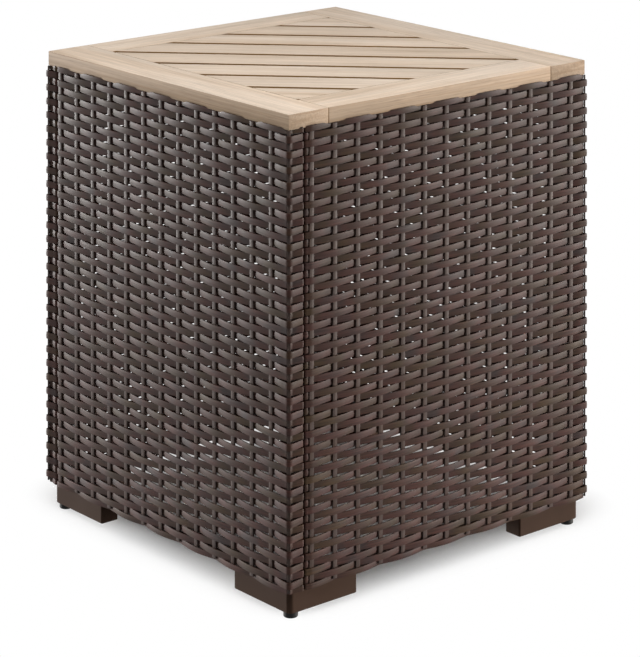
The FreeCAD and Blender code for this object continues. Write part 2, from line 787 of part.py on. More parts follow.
def build_slats(holes):
    frame_window = box(
        "SlatWindow", "2 * (window_x - slat_end_gap)", "2 * (window_y - slat_end_gap)", "top_thickness",
        "slat_end_gap - window_x", "slat_end_gap - window_y", "top_under")
    lean = FreeCAD.Rotation(UP, math.degrees(math.atan2(size("window_y"), size("window_x"))))
    width = size("slat_pitch") - size("slat_gap")
    for number in range(round(size("slat_count"))):
        board = doc.addObject("Part::Box", f"Board{number}")
        bind(board, "Length", "window_diagonal")
        bind(board, "Width", "slat_pitch - slat_gap")
        bind(board, "Height", "top_thickness")
        corner = FreeCAD.Vector(-size("window_diagonal") / 2, slat_offset(number) - width / 2, 0)
        board.Placement = FreeCAD.Placement(lean.multVec(corner), lean)
        bind(board, "Placement.Base.z", "top_under")
        slat = common(f"Slat{number}", board, frame_window)
        finish(cut(f"Slat{number}Cut", slat, holes), f"slat_{number + 1}")


def build_top():
    holes = copies_at("ScrewHoles", wood_screw("ScrewHole", "screw_play"), screw_places())
    dowel_holes = copies_at("DowelHoles", dowel("DowelHole", "dowel_play"), dowel_places())
    tools = fuse("TopHoles", [holes, dowel_holes])
    half = "(table_side / 2)"
    front = ((f"-{half}", f"-{half}"), (half, "-window_y"))
    side = (("window_x", "-window_y"), (half, "window_y"))
    rail("FrontRail", "top_front_rail", *front, tools, 0)
    rail("BackRail", "top_back_rail", *front, tools, 2)
    rail("RightRail", "top_right_rail", *side, tools, 0)
    rail("LeftRail", "top_left_rail", *side, tools, 2)
    build_slats(holes)

    under = "top_under - batten_height"
    for name, turns in (("right", 0), ("left", 2)):
        batten = box(
            f"{name}Batten", "batten_width", "2 * batten_end", "batten_height",
            "batten_place - batten_width / 2", "-batten_end", under)
        finish(cut(f"{name}BattenCut", batten, holes), f"top_{name}_batten", turns)
        cleat = box(
            f"{name}Cleat", "cleat_width", "2 * cleat_end", "batten_height",
            "cleat_face - cleat_width", "-cleat_end", under)
        finish(cut(f"{name}CleatCut", cleat, holes), f"top_{name}_cleat", turns)

    finish(copies_at("TopScrews", wood_screw("TopScrew", "0"), screw_places()), "top_screws")
    finish(copies_at("TopDowels", dowel("TopDowel", "0"), dowel_places()), "top_dowels")


def build_bumpers():
    disc, _turn = revolved("Bumper", [
        ("0", "0"), ("bumper_radius", "0"),
        ("bumper_radius", "bumper_thickness"), ("0", "bumper_thickness")])
    places = []
    for _side, turns, depth, _next_depth in PANELS:
        for sign in (-1, 1):
            x = sign * size("bumper_spacing") / 2
            places.append(placed(turns, (x, size(depth) / 2 - size("frame_face"), size("frame_high"))))
    finish(copies_at("Bumpers", disc, places), "top_bumpers")


for panel in PANELS:
    build_frame(*panel)
    build_weave(*panel)
build_corner_bolts()
build_corner_inserts()
for corner in CORNERS:
    build_foot(*corner)
    build_leveller(*corner)
build_foot_screws()
build_sockets()
build_bumpers()
build_top()
doc.recompute()

for item in doc.Objects:
    if "Invalid" in item.State or "Error" in item.State:
        raise RuntimeError(f"{item.Name} failed: {item.State}")
for item in nodes:
    if item.Shape.isNull() or not item.Shape.isValid():
        raise RuntimeError(f"{item.Label} has no valid shape")

os.makedirs("parts", exist_ok=True)
for item in nodes:
    item.Shape.exportStep(f"parts/{item.Label}.step")
    solids = len(item.Shape.Solids)
    print(f"{item.Label}: {solids} solid{'s' if solids > 1 else ''}, {item.Shape.Volume / 1000:.2f} cm3")
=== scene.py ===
import math
import random

import bpy
from mathutils import Matrix, Vector


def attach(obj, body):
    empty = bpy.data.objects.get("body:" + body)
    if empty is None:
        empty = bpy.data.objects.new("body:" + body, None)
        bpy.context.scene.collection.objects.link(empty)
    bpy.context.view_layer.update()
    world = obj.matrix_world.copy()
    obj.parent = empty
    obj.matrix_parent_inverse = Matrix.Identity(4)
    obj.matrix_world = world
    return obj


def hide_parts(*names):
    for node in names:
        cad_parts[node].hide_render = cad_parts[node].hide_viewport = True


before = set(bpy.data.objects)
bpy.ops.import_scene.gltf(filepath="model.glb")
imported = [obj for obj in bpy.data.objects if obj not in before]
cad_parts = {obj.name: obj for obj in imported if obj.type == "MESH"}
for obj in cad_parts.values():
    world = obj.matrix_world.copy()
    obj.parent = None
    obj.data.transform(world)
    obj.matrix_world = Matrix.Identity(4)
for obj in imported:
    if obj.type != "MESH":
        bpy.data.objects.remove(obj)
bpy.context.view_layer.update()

# The tube frames behind the woven panels: steel tube, welded and powder-coated brown. The coat is
# slightly pebbled, as such paint is.
sides = ("front", "right", "back", "left")
tubes = ("left_post", "corner_post", "panel_top_rail", "panel_bottom_rail")


def start_material(name, roughness):
    """A new material and its shader, with one roughness all over."""
    material = bpy.data.materials.new(name)
    material.use_nodes = True
    shader = material.node_tree.nodes["Principled BSDF"]
    shader.inputs["Roughness"].default_value = roughness
    return material, shader


def wire(material, value, socket):
    """Links an output to a socket, or sets the socket where the value is a plain one."""
    if isinstance(value, bpy.types.NodeSocket):
        material.node_tree.links.new(value, socket)
    else:
        socket.default_value = value


def add_node(material, kind, settings={}, **sockets):
    """One node of a material: settings by property, sockets by name, linked or set."""
    made = material.node_tree.nodes.new(kind)
    for prop, value in settings.items():
        setattr(made, prop, value)
    for name, value in sockets.items():
        wire(material, value, made.inputs[name.replace("_", " ")])
    return made


def stretched(material, vector, scale):
    """A place or an attribute, stretched differently along each axis, per metre."""
    return add_node(material, "ShaderNodeMapping", Vector=vector, Scale=scale).outputs["Vector"]


def object_place(material, scale):
    place = add_node(material, "ShaderNodeTexCoord")
    return stretched(material, place.outputs["Object"], scale)


def noise(material, vector, detail=3.0, **more):
    settings = {"noise_dimensions": "4D"} if "W" in more else {}
    made = add_node(material, "ShaderNodeTexNoise", settings,
                    Vector=vector, Scale=1.0, Detail=detail, **more)
    return made.outputs["Fac"]


def ramp(material, value, stops):
    """Colours for a value from 0 to 1."""
    made = add_node(material, "ShaderNodeValToRGB", Fac=value)
    elements = made.color_ramp.elements
    while len(elements) < len(stops):
        elements.new(0.5)
    for element, (position, colour) in zip(elements, stops):
        element.position = position
        element.color = (*colour, 1)
    return made.outputs["Color"]


def rough_up(material, shader, height, strength, distance):
    """Bump from a height, in metres."""
    bump = add_node(material, "ShaderNodeBump", Height=height, Strength=strength, Distance=distance)
    wire(material, bump.outputs["Normal"], shader.inputs["Normal"])


def dress(node_names, material):
    """Gives CAD nodes a better material, in their own slots."""
    for name in node_names:
        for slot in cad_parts[name].material_slots:
            slot.material = material


powder_coat, shader = start_material("powder_coat", 0.5)
cloud = noise(powder_coat, object_place(powder_coat, (9, 9, 9)))
colour = ramp(powder_coat, cloud, [(0.3, (0.030, 0.021, 0.017)), (0.7, (0.044, 0.031, 0.026))])
wire(powder_coat, colour, shader.inputs["Base Color"])
pebbles = noise(powder_coat, object_place(powder_coat, (900, 900, 900)), detail=2.0)
rough_up(powder_coat, shader, pebbles, 0.25, 0.0002)
dress([f"{side}_{tube}" for side in sides for tube in tubes], powder_coat)

# The wicker: flat strands of dyed plastic, thicker in the middle than at the edges, woven over and
# under upright canes, 61 rows to a panel. Each strand goes round the post at either end of its
# panel and is tucked in behind it.
MM = 0.001
plain_rows = 59
row_pitch = 8.205 * MM
first_row = 516.4 * MM
top_row = 524.6 * MM
bottom_row = 33.4 * MM
strand_height = 7.2 * MM
top_strand_height = 6.4 * MM
bottom_strand_height = 6.0 * MM
strand_edge = 1.3 * MM
strand_crown = 0.3 * MM
strand_thickness = 1.9 * MM
cane_thickness = 2.0 * MM
cane_count = 13
cane_pitch = 32.9 * MM
frame_face = 221.6 * MM
under_line = frame_face + strand_thickness / 2
over_line = frame_face + cane_thickness + 1.5 * strand_thickness
post_width = 16 * MM
seam = 2.0 * MM
seam_share = 0.65
strand_overlap = 0.4 * MM
under_turn = [(221.0, -224.3), (222.6, -223.9), (223.3, -223.2), (223.5, -222.0), (223.1, -220.2),
              (222.8, -219.0)]
over_turn = [(221.5, -226.6), (223.9, -226.9), (225.6, -226.6), (226.7, -225.6), (227.05, -224.0),
             (226.8, -221.6)]
boards_cover = 225.4 * MM
pressed_down = 2.1 * MM
# Each panel's side, quarter turns, own tube depth, left neighbour's tube depth and first cane.
panels = [
    ("front", 0, 16 * MM, 12 * MM, -200.1 * MM),
    ("right", 1, 12 * MM, 16 * MM, -193.2 * MM),
    ("back", 2, 16 * MM, 12 * MM, -197.0 * MM),
    ("left", 3, 12 * MM, 16 * MM, -197.0 * MM),
]


def rise(share):
    """From 0 under one cane to 1 over the next: a tight bend, a straight run and a wide bend."""
    under_bend, over_bend = 0.08, 0.5
    slope = 1 / (1 - (under_bend + over_bend) / 2)
    if share < under_bend:
        return slope * share * share / (2 * under_bend)
    if share > 1 - over_bend:
        return 1 - slope * (1 - share) ** 2 / (2 * over_bend)
    return slope * (share - under_bend / 2)


def between(near, far):
    """Plan points of a strand on its way out over the next cane or corner, or in under it. They
    lie close together at the tight bend."""
    (x0, y0), (x1, y1) = near, far
    if y1 < y0:
        shares = (0, 0.04, 0.08, 0.3, 0.5, 0.66, 0.83)
        done = [rise(share) for share in shares]
    else:
        shares = (0, 0.17, 0.34, 0.5, 0.7, 0.92, 0.96)
        done = [1 - rise(1 - share) for share in shares]
    return [(x0 + (x1 - x0) * share, y0 + (y1 - y0) * part) for share, part in zip(shares, done)]


def strand_path(over_first, tube_depth, left_depth, first_cane):
    """Plan points of a front strand's middle line: tucked in, round the left post, past the
    canes, round the corner cane and tucked in again. The small steps round off
    its bends at the posts."""
    half = strand_thickness / 2
    left = -frame_face + left_depth + strand_thickness + seam - strand_overlap
    tuck = -frame_face + tube_depth + half + strand_overlap
    line = under_line + (over_line - under_line) * (seam_share if over_first else 1 - seam_share)
    tucked_in = [(left + strand_thickness + post_width, tuck), (left + 2.2 * MM, tuck),
                 (left + 1.0 * MM, tuck - 0.5 * MM), (left + half, tuck - 1.6 * MM)]
    round_post = [(left + half, -line + 1.5 * MM), (left + 0.9 * MM, -line + 0.5 * MM)]
    stops = [(left + 1.6 * MM, -line)]
    for cane in range(cane_count):
        is_over = (cane % 2 == 0) == over_first
        stops.append((first_cane + cane * cane_pitch, -over_line if is_over else -under_line))
    turn = [(x * MM, y * MM) for x, y in (under_turn if over_first else over_turn)]
    past_canes = []
    for near, far in zip(stops, stops[1:] + turn[:1]):
        past_canes += between(near, far)
    ending = [(line, tuck - 1.6 * MM), (line - 0.5 * MM, tuck - 0.6 * MM), (line - 1.5 * MM, tuck),
              (220.2 * MM, tuck), (frame_face - post_width, tuck)]
    (x0, y0), (x1, y1) = turn[-1], ending[0]
    straight = [(x0 + (x1 - x0) * share, y0 + (y1 - y0) * share) for share in (0.1, 0.9)]
    return tucked_in + round_post + past_canes + turn + straight + ending


def select_only(obj):
    bpy.ops.object.select_all(action="DESELECT")
    obj.select_set(True)
    bpy.context.view_layer.objects.active = obj


def select_points(obj, wanted):
    """In edit mode, selects the points that a test picks by their place, and nothing else."""
    bpy.ops.mesh.select_all(action="DESELECT")
    bpy.ops.object.mode_set(mode="OBJECT")
    for point in obj.data.vertices:
        point.select = wanted(point.co)
    bpy.ops.object.mode_set(mode="EDIT")


def apply_modifier(obj, kind, **settings):
    select_only(obj)
    modifier = obj.modifiers.new(kind.lower(), kind)
    for prop, value in settings.items():
        setattr(modifier, prop, value)
    bpy.ops.object.modifier_apply(modifier=modifier.name)


def smooth(obj, degrees):
    select_only(obj)
    bpy.ops.object.shade_smooth_by_angle(angle=math.radians(degrees))


def join(pieces, name):
    bpy.ops.object.select_all(action="DESELECT")
    for piece in pieces:
        piece.select_set(True)
    bpy.context.view_layer.objects.active = pieces[0]
    bpy.ops.object.join()
    pieces[0].name = name
    pieces[0].data.name = name
    return pieces[0]


def copy_of(master, offset):
    """A copy with its own mesh, moved by an offset that ends up in its mesh."""
    select_only(master)
    bpy.ops.object.duplicate(linked=False)
    made = bpy.context.object
    made.location = offset
    bpy.ops.object.transform_apply(location=True, rotation=False, scale=False)
    return made


def give_tone(obj, tone):
    """One random number for a whole strand or board, which its material reads."""
    attribute = obj.data.attributes.new("tone", "FLOAT", "POINT")
    attribute.data.foreach_set("value", [tone] * len(obj.data.vertices))


def turn_to_side(obj, quarter_turns):
    select_only(obj)
    obj.rotation_euler = (0, 0, math.radians(90 * quarter_turns))
    bpy.ops.object.transform_apply(location=False, rotation=True, scale=False)


def finish_piece(obj, material, slot, body, *nodes):
    """Material, body and the CAD nodes that the piece stands for. The finish named by slot is not
    used.
    """
    obj.data.materials.clear()
    obj.data.materials.append(material)
    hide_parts(*nodes)
    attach(obj, body)


def lay_strand(name, path, height):
    """A flat strand on edge along a plan path, its two faces crowned."""
    bpy.ops.object.select_all(action="DESELECT")
    bpy.ops.mesh.primitive_grid_add(x_subdivisions=1, y_subdivisions=2, size=height,
                                    rotation=(math.pi / 2, 0, 0))
    strand = bpy.context.object
    strand.name = name
    bpy.ops.object.transform_apply(location=True, rotation=True, scale=True)
    bpy.ops.object.mode_set(mode="EDIT")
    half = height / 2
    close = half / 10
    for end, (x, y) in ((-half, path[0]), (half, path[1])):
        select_points(strand, lambda co: abs(co.x - end) < close and abs(co.y) < close)
        bpy.ops.transform.translate(value=(x - end, y, 0))
    for (x0, y0), (x1, y1) in zip(path[1:], path[2:]):
        bpy.ops.mesh.extrude_edges_move(TRANSFORM_OT_translate={"value": (x1 - x0, y1 - y0, 0)})
    bpy.ops.object.mode_set(mode="OBJECT")
    apply_modifier(strand, "SOLIDIFY", thickness=strand_edge, offset=0, use_even_offset=True)
    bpy.ops.object.mode_set(mode="EDIT")
    select_points(strand, lambda co: abs(co.z) < close)
    bpy.ops.transform.shrink_fatten(value=strand_crown)
    bpy.ops.object.mode_set(mode="OBJECT")
    smooth(strand, 40)
    return strand


def top_strand(path):
    """The row that the top comes down on: it stands up outside the top's edge where it passes
    over a cane, and is pressed down under the boards elsewhere."""
    strand = lay_strand("top_strand", path, top_strand_height)
    bpy.ops.object.mode_set(mode="EDIT")
    select_points(strand, lambda co: co.z > MM and -co.y < boards_cover and co.x < boards_cover)
    bpy.ops.transform.translate(value=(0, 0, -pressed_down))
    bpy.ops.object.mode_set(mode="OBJECT")
    return strand


def weave_panel(side, quarter_turns, tube_depth, left_depth, first_cane, dice):
    """One panel's strands, woven at the front and turned to its side. Each plain row wanders up or
    down by up to 0.1 mm."""
    paths = [strand_path(over, tube_depth, left_depth, first_cane) for over in (False, True)]
    plain = [lay_strand(f"{side}_strand", path, strand_height) for path in paths]
    ends = [top_strand(paths[1]), lay_strand("bottom_strand", paths[1], bottom_strand_height)]
    strands = [copy_of(ends[0], (0, 0, top_row)), copy_of(ends[1], (0, 0, bottom_row))]
    for row in range(plain_rows):
        height = first_row - row * row_pitch + dice.uniform(-0.1, 0.1) * MM
        strands.append(copy_of(plain[row % 2], (0, 0, height)))
    for strand in strands:
        give_tone(strand, dice.random())
    for pattern in plain + ends:
        bpy.data.objects.remove(pattern)
    weave = join(strands, f"{side}_strands")
    turn_to_side(weave, quarter_turns)
    finish_piece(weave, wicker, "wicker", "base", f"{side}_weave")


def calculate(material, operation, *values, kind="ShaderNodeMath"):
    """The outputs of a maths node on values that are linked or set."""
    made = add_node(material, kind, {"operation": operation})
    for socket, value in zip(made.inputs, values):
        wire(material, value, socket)
    return made.outputs


def read_attribute(material, name, output="Fac"):
    """What a piece's own attribute says, by its name."""
    return add_node(material, "ShaderNodeAttribute", {"attribute_name": name}).outputs[output]


def shades(material, value, low, high, dark, light):
    """Greys for a value, to multiply a colour by."""
    return ramp(material, value, [(low, (dark, dark, dark)), (high, (light, light, light))])


def times(material, first, second):
    """Two colours multiplied."""
    mixed = add_node(material, "ShaderNodeMix", {"data_type": "RGBA", "blend_type": "MULTIPLY"})
    mixed.inputs["Factor"].default_value = 1
    wire(material, first, mixed.inputs[6])
    wire(material, second, mixed.inputs[7])
    return mixed.outputs[2]


def dyed_plastic(name, colours, streak_scale):
    """Plastic dyed unevenly, so that its colour wanders along each strand, and drawn out in fine
    lengthwise lines."""
    material, shader = start_material(name, 0.5)
    shader.inputs["Specular IOR Level"].default_value = 0.13
    apart = calculate(material, "MULTIPLY", read_attribute(material, "tone"), 90)[0]
    dye = noise(material, object_place(material, (24, 24, 24)), detail=2.0, W=apart)
    shade = noise(material, object_place(material, (40, 40, 60)), detail=1.0, W=apart)
    streak = noise(material, object_place(material, streak_scale), W=apart)
    colour = ramp(material, dye, colours)
    colour = times(material, colour, shades(material, shade, 0.3, 0.7, 0.8, 1.2))
    colour = times(material, colour, shades(material, streak, 0.3, 0.7, 0.6, 1.4))
    wire(material, colour, shader.inputs["Base Color"])
    rough_up(material, shader, streak, 0.35, 0.0003)
    return material


wicker = dyed_plastic("wicker", [
    (0.32, (0.029, 0.016, 0.007)), (0.44, (0.028, 0.013, 0.008)), (0.56, (0.036, 0.014, 0.011)),
    (0.70, (0.025, 0.016, 0.015))], (14, 14, 950))
for number, panel in enumerate(panels):
    weave_panel(*panel, random.Random(101 + number))

# The canes: upright bars of the same plastic with rounded corners, a little thicker than the
# strands, 13 across each panel and a narrower one set cornerwise at its corner. They aren't fixed:
# the weave holds them in front of the tubes.
cane_width = 6.0 * MM
cane_line = frame_face + strand_thickness + cane_thickness / 2
cane_low = 32.4 * MM
cane_high = 525.5 * MM
cane_rounding = 0.4 * MM
corner_cane = (224.75 * MM, -224.65 * MM)
corner_cane_share = 0.6


def stand_canes(side, quarter_turns, first_cane, dice):
    bpy.ops.object.select_all(action="DESELECT")
    bpy.ops.mesh.primitive_cube_add(size=1, location=(0, 0, 0))
    master = bpy.context.object
    master.scale = (cane_width, cane_thickness, cane_high - cane_low)
    bpy.ops.object.transform_apply(location=False, rotation=False, scale=True)
    apply_modifier(master, "BEVEL", width=cane_rounding, segments=2, limit_method="ANGLE")
    smooth(master, 40)
    middle = (cane_high + cane_low) / 2
    canes = [copy_of(master, (first_cane + cane * cane_pitch, -cane_line, middle))
             for cane in range(cane_count)]
    select_only(master)
    master.rotation_euler = (0, 0, math.pi / 4)
    master.scale = (corner_cane_share, 1, 1)
    bpy.ops.object.transform_apply(location=False, rotation=True, scale=True)
    canes.append(copy_of(master, (*corner_cane, middle)))
    bpy.data.objects.remove(master)
    for cane in canes:
        give_tone(cane, dice.random())
    canes = join(canes, f"{side}_canes")
    turn_to_side(canes, quarter_turns)
    finish_piece(canes, cane_plastic, "wicker", "base", f"{side}_weave")


cane_plastic = dyed_plastic("cane_plastic", [
    (0.35, (0.046, 0.030, 0.024)), (0.65, (0.055, 0.040, 0.036))], (900, 900, 12))
for number, (side, quarter_turns, _depth, _left, first_cane) in enumerate(panels):
    stand_canes(side, quarter_turns, first_cane, random.Random(301 + number))

# The corner hardware: zinc-plated button-head bolts through each left post, and the yellow
# passivated threaded inserts that take them. The plate is cloudy and finely scratched.


def plated(name, colours, roughness):
    material, shader = start_material(name, roughness)
    shader.inputs["Metallic"].default_value = 1
    cloud = noise(material, object_place(material, (160, 160, 160)), detail=4.0)
    wire(material, ramp(material, cloud, colours), shader.inputs["Base Color"])
    scratches = noise(material, object_place(material, (500, 500, 2500)), detail=2.0)
    rough_up(material, shader, scratches, 0.2, 0.0001)
    return material


zinc_plate = plated("zinc_plate", [(0.3, (0.50, 0.50, 0.49)), (0.7, (0.66, 0.67, 0.68))], 0.38)
yellow_plate = plated("yellow_plate", [(0.3, (0.52, 0.42, 0.18)), (0.7, (0.68, 0.56, 0.28))], 0.34)
dress(["corner_bolts", "foot_screws", "top_screws"], zinc_plate)
dress(["corner_inserts", "stud_sockets"], yellow_plate)

# The feet: L-shaped blocks of moulded brown plastic under the corners, with a fine mould grain,
# held by screws that go up into the frames.
corners = [("front_right", 0), ("back_right", 1), ("back_left", 2), ("front_left", 3)]
foot_plastic, shader = start_material("foot_plastic", 0.6)
shader.inputs["Specular IOR Level"].default_value = 0.04
cloud = noise(foot_plastic, object_place(foot_plastic, (14, 14, 30)))
colour = ramp(foot_plastic, cloud, [
    (0.3, (0.032, 0.018, 0.012)), (0.5, (0.037, 0.021, 0.014)), (0.7, (0.042, 0.025, 0.018))])
wire(foot_plastic, colour, shader.inputs["Base Color"])
mould_grain = noise(foot_plastic, object_place(foot_plastic, (1400, 1400, 1400)), detail=2.0)
rough_up(foot_plastic, shader, mould_grain, 0.2, 0.0001)
dress([f"foot_{corner}" for corner, _turns in corners], foot_plastic)

# The levelling feet: a black rubber pad moulded on the collar of a zinc-plated threaded stud, which
# screws up into the socket in the block. The bumpers under the top are of the same rubber.
leveller_place = 209.7 * MM
thread_low = 6.4 * MM
thread_high = 28.0 * MM
thread_pitch = 1.25 * MM
thread_line = 3.38 * MM
thread_size = 0.62 * MM
core_radius = 3.4 * MM
core_length = 26.9 * MM
core_middle = 16.25 * MM
core_chamfer = 0.7 * MM
chamfer_reach = 1.03

rubber, shader = start_material("rubber", 0.62)
shader.inputs["Specular IOR Level"].default_value = 0.2
dust = noise(rubber, object_place(rubber, (120, 120, 120)))
colour = ramp(rubber, dust, [(0.35, (0.004, 0.004, 0.004)), (0.7, (0.008, 0.008, 0.007))])
wire(rubber, colour, shader.inputs["Base Color"])
skin = noise(rubber, object_place(rubber, (2200, 2200, 2200)), detail=1.0)
rough_up(rubber, shader, skin, 0.25, 0.0001)
dress([f"levelling_pad_{corner}" for corner, _turns in corners] + ["top_bumpers"], rubber)


def wind_thread():
    """A three-cornered ridge, wound up round the shank and closed at both ends."""
    bpy.ops.object.select_all(action="DESELECT")
    bpy.ops.mesh.primitive_circle_add(vertices=3, radius=thread_size, rotation=(math.pi / 2, 0, 0))
    thread = bpy.context.object
    bpy.ops.object.transform_apply(location=False, rotation=True, scale=False)
    bpy.ops.object.mode_set(mode="EDIT")
    bpy.ops.mesh.select_all(action="SELECT")
    bpy.ops.transform.rotate(value=math.pi / 2, orient_axis="Y", center_override=(0, 0, 0))
    bpy.ops.transform.translate(value=(thread_line, 0, thread_low))
    bpy.ops.object.mode_set(mode="OBJECT")
    turns = int((thread_high - thread_low) / thread_pitch)
    apply_modifier(thread, "SCREW", screw_offset=thread_pitch, iterations=turns,
                   steps=20, render_steps=20)
    bpy.ops.object.mode_set(mode="EDIT")
    bpy.ops.mesh.select_all(action="SELECT")
    bpy.ops.mesh.fill_holes(sides=0)
    bpy.ops.mesh.normals_make_consistent(inside=False)
    bpy.ops.object.mode_set(mode="OBJECT")
    return thread


def turn_core():
    """The stud's plain core, chamfered at both ends."""
    bpy.ops.object.select_all(action="DESELECT")
    bpy.ops.mesh.primitive_cylinder_add(vertices=32, radius=core_radius, depth=core_length,
                                        location=(0, 0, core_middle))
    core = bpy.context.object
    bpy.ops.object.transform_apply(location=True, rotation=False, scale=False)
    bpy.ops.object.mode_set(mode="EDIT")
    bpy.ops.mesh.select_all(action="DESELECT")
    bpy.ops.mesh.select_mode(type="FACE")
    bpy.ops.object.mode_set(mode="OBJECT")
    for face in core.data.polygons:
        face.select = abs(face.normal.z) > 0.9
    bpy.ops.object.mode_set(mode="EDIT")
    bpy.ops.mesh.inset(thickness=core_chamfer)
    bpy.ops.transform.resize(value=(1, 1, chamfer_reach))
    bpy.ops.mesh.select_mode(type="VERT")
    bpy.ops.object.mode_set(mode="OBJECT")
    return core


for corner, quarter_turns in corners:
    thread = wind_thread()
    stud = join([turn_core(), thread], f"stud_{corner}")
    smooth(stud, 35)
    stud.location = (leveller_place, -leveller_place, 0)
    select_only(stud)
    bpy.ops.object.transform_apply(location=True, rotation=False, scale=False)
    turn_to_side(stud, quarter_turns)
    finish_piece(stud, zinc_plate, "zinc_steel", f"leveller_{corner}", f"levelling_stud_{corner}")

# The lift-off top: a frame of four teak boards, dowelled and glued, and eight diagonal slats with
# open gaps. Every arris is rubbed round and each board has its own grain. The boards' sides are
# darkened with painted shade, fully in the slat gaps and by half outside, and the joints between
# the boards are dark lines.
top_under = 526 * MM
board_thickness = 17 * MM
half_side = 225 * MM
window_x = 173 * MM
window_y = 169 * MM
slat_count = 8
slat_length = 500 * MM
slat_pitch = 60.4 * MM
slat_gap = 7.8 * MM
hairline = 0.3 * MM
arris = 0.7 * MM
# Painted shade on the outer sides of the top, as a share of the full painted shade in the gaps.
outside_painted_shade = 0.5
lean = math.atan2(window_y, window_x)
dice = random.Random(501)


def cut_away(plane_point, outward):
    """In edit mode, cuts off what lies beyond a plane and closes the cut."""
    bpy.ops.mesh.select_all(action="SELECT")
    bpy.ops.mesh.bisect(plane_co=plane_point, plane_no=outward, use_fill=True, clear_outer=True)


def painted_shade_and_joints_at(place):
    """How much painted shade a board's side gets at a point: full in a gap, full at a joint, where
    it makes a dark joint line, and half as much outside.
    """
    at_joint = abs(abs(place.y) - window_y) < 0.5 * MM
    is_outside = max(abs(place.x), abs(place.y)) > half_side - MM and not at_joint
    return outside_painted_shade if is_outside else 1


def saw_board(node, length, width, centre, angle, within=None):
    """One board of the top along an angle, sawn off to fit within a window if there is one. Its
    grain attribute is the place along and across the board, shifted at random."""
    bpy.ops.object.select_all(action="DESELECT")
    bpy.ops.mesh.primitive_cube_add(size=1, location=(0, 0, 0))
    board = bpy.context.object
    board.scale = (length, width, board_thickness)
    bpy.ops.object.transform_apply(location=False, rotation=False, scale=True)
    board.rotation_euler = (0, 0, angle)
    board.location = (*centre, top_under + board_thickness / 2)
    bpy.ops.object.transform_apply(location=True, rotation=True, scale=False)
    if within:
        bpy.ops.object.mode_set(mode="EDIT")
        for sign in (-1, 1):
            cut_away((sign * (within[0] - hairline), 0, 0), (sign, 0, 0))
            cut_away((0, sign * (within[1] - hairline), 0), (0, sign, 0))
        bpy.ops.object.mode_set(mode="OBJECT")
    apply_modifier(board, "BEVEL", width=arris, segments=2, limit_method="ANGLE",
                   angle_limit=math.radians(30))
    smooth(board, 35)
    give_tone(board, dice.random())
    points = board.data.vertices
    # The painted shade and dark joint lines on the board's sides, per point, for the teak material.
    painted_shade_and_joints = board.data.attributes.new("painted_shade_and_joints", "FLOAT", "POINT")
    painted_shade_and_joints.data.foreach_set("value", [painted_shade_and_joints_at(point.co) for point in points])
    shift = Vector((dice.uniform(0, 9), dice.uniform(0, 3), dice.uniform(0, 3)))
    back = Matrix.Rotation(-angle, 3, "Z")
    middle = Vector((*centre, 0))
    places = [value for point in points for value in back @ (point.co - middle) + shift]
    grain = board.data.attributes.new("grain", "FLOAT_VECTOR", "POINT")
    grain.data.foreach_set("vector", places)
    finish_piece(board, teak, "teak", "top", node)


teak, shader = start_material("teak", 0.6)
shader.inputs["Specular IOR Level"].default_value = 0.08
grain = read_attribute(teak, "grain", "Vector")
bands = noise(teak, stretched(teak, grain, (2.2, 30, 260)), detail=4.0, Distortion=0.6)
fibres = noise(teak, stretched(teak, grain, (9, 420, 420)), detail=3.0)
pores = noise(teak, stretched(teak, grain, (45, 1500, 1500)), detail=1.0)
clouds = noise(teak, stretched(teak, grain, (3, 14, 14)), detail=2.0)
colour = ramp(teak, bands, [
    (0.30, (0.530, 0.402, 0.290)), (0.46, (0.645, 0.514, 0.398)), (0.60, (0.700, 0.578, 0.466)),
    (0.75, (0.615, 0.482, 0.370))])
colour = times(teak, colour, shades(teak, fibres, 0.3, 0.7, 0.84, 1.10))
colour = times(teak, colour, shades(teak, pores, 0.30, 0.42, 0.80, 1.0))
colour = times(teak, colour, shades(teak, clouds, 0.3, 0.7, 0.94, 1.05))
tone = read_attribute(teak, "tone")
colour = times(teak, colour, shades(teak, tone, 0.0, 1.0, 0.94, 1.03))
# The sides of the boards, unlike the faces that look up or down, are darkened towards dark brown:
# this is painted shade in the slat gaps and on the outside, and dark joint lines where boards meet.
facing = add_node(teak, "ShaderNodeNewGeometry").outputs["Normal"]
upward = add_node(teak, "ShaderNodeSeparateXYZ", Vector=facing).outputs["Z"]
flatness = calculate(teak, "ABSOLUTE", upward)[0]
on_side = add_node(teak, "ShaderNodeMapRange", Value=flatness, From_Min=0.98, From_Max=0.6)
painted_shade_and_joints = read_attribute(teak, "painted_shade_and_joints")
painted_side_shade_and_joints = calculate(teak, "MULTIPLY", painted_shade_and_joints, on_side.outputs["Result"])[0]
colour = times(teak, colour, ramp(teak, painted_side_shade_and_joints, [(0.0, (1, 1, 1)), (1.0, (0.30, 0.20, 0.08))]))
wire(teak, colour, shader.inputs["Base Color"])
rough_up(teak, shader, fibres, 0.3, 0.0003)

rail_x = (half_side + window_x) / 2
rail_y = (half_side + window_y) / 2
through_size = (2 * half_side, half_side - window_y)
cross_size = (2 * window_y - hairline, half_side - window_x)
saw_board("top_front_rail", *through_size, (0, -rail_y), 0)
saw_board("top_back_rail", *through_size, (0, rail_y), 0)
saw_board("top_right_rail", *cross_size, (rail_x, 0), math.pi / 2)
saw_board("top_left_rail", *cross_size, (-rail_x, 0), math.pi / 2)
for i in range(slat_count):
    offset = (i - (slat_count - 1) / 2) * slat_pitch
    centre = (-offset * math.sin(lean), offset * math.cos(lean))
    saw_board(f"slat_{i + 1}", slat_length, slat_pitch - slat_gap, centre, lean,
              (window_x, window_y))

# Under the boards: two battens and two cleats of planed wood, screwed up into the slats and rails,
# and the dowels in the frame's corner joints.


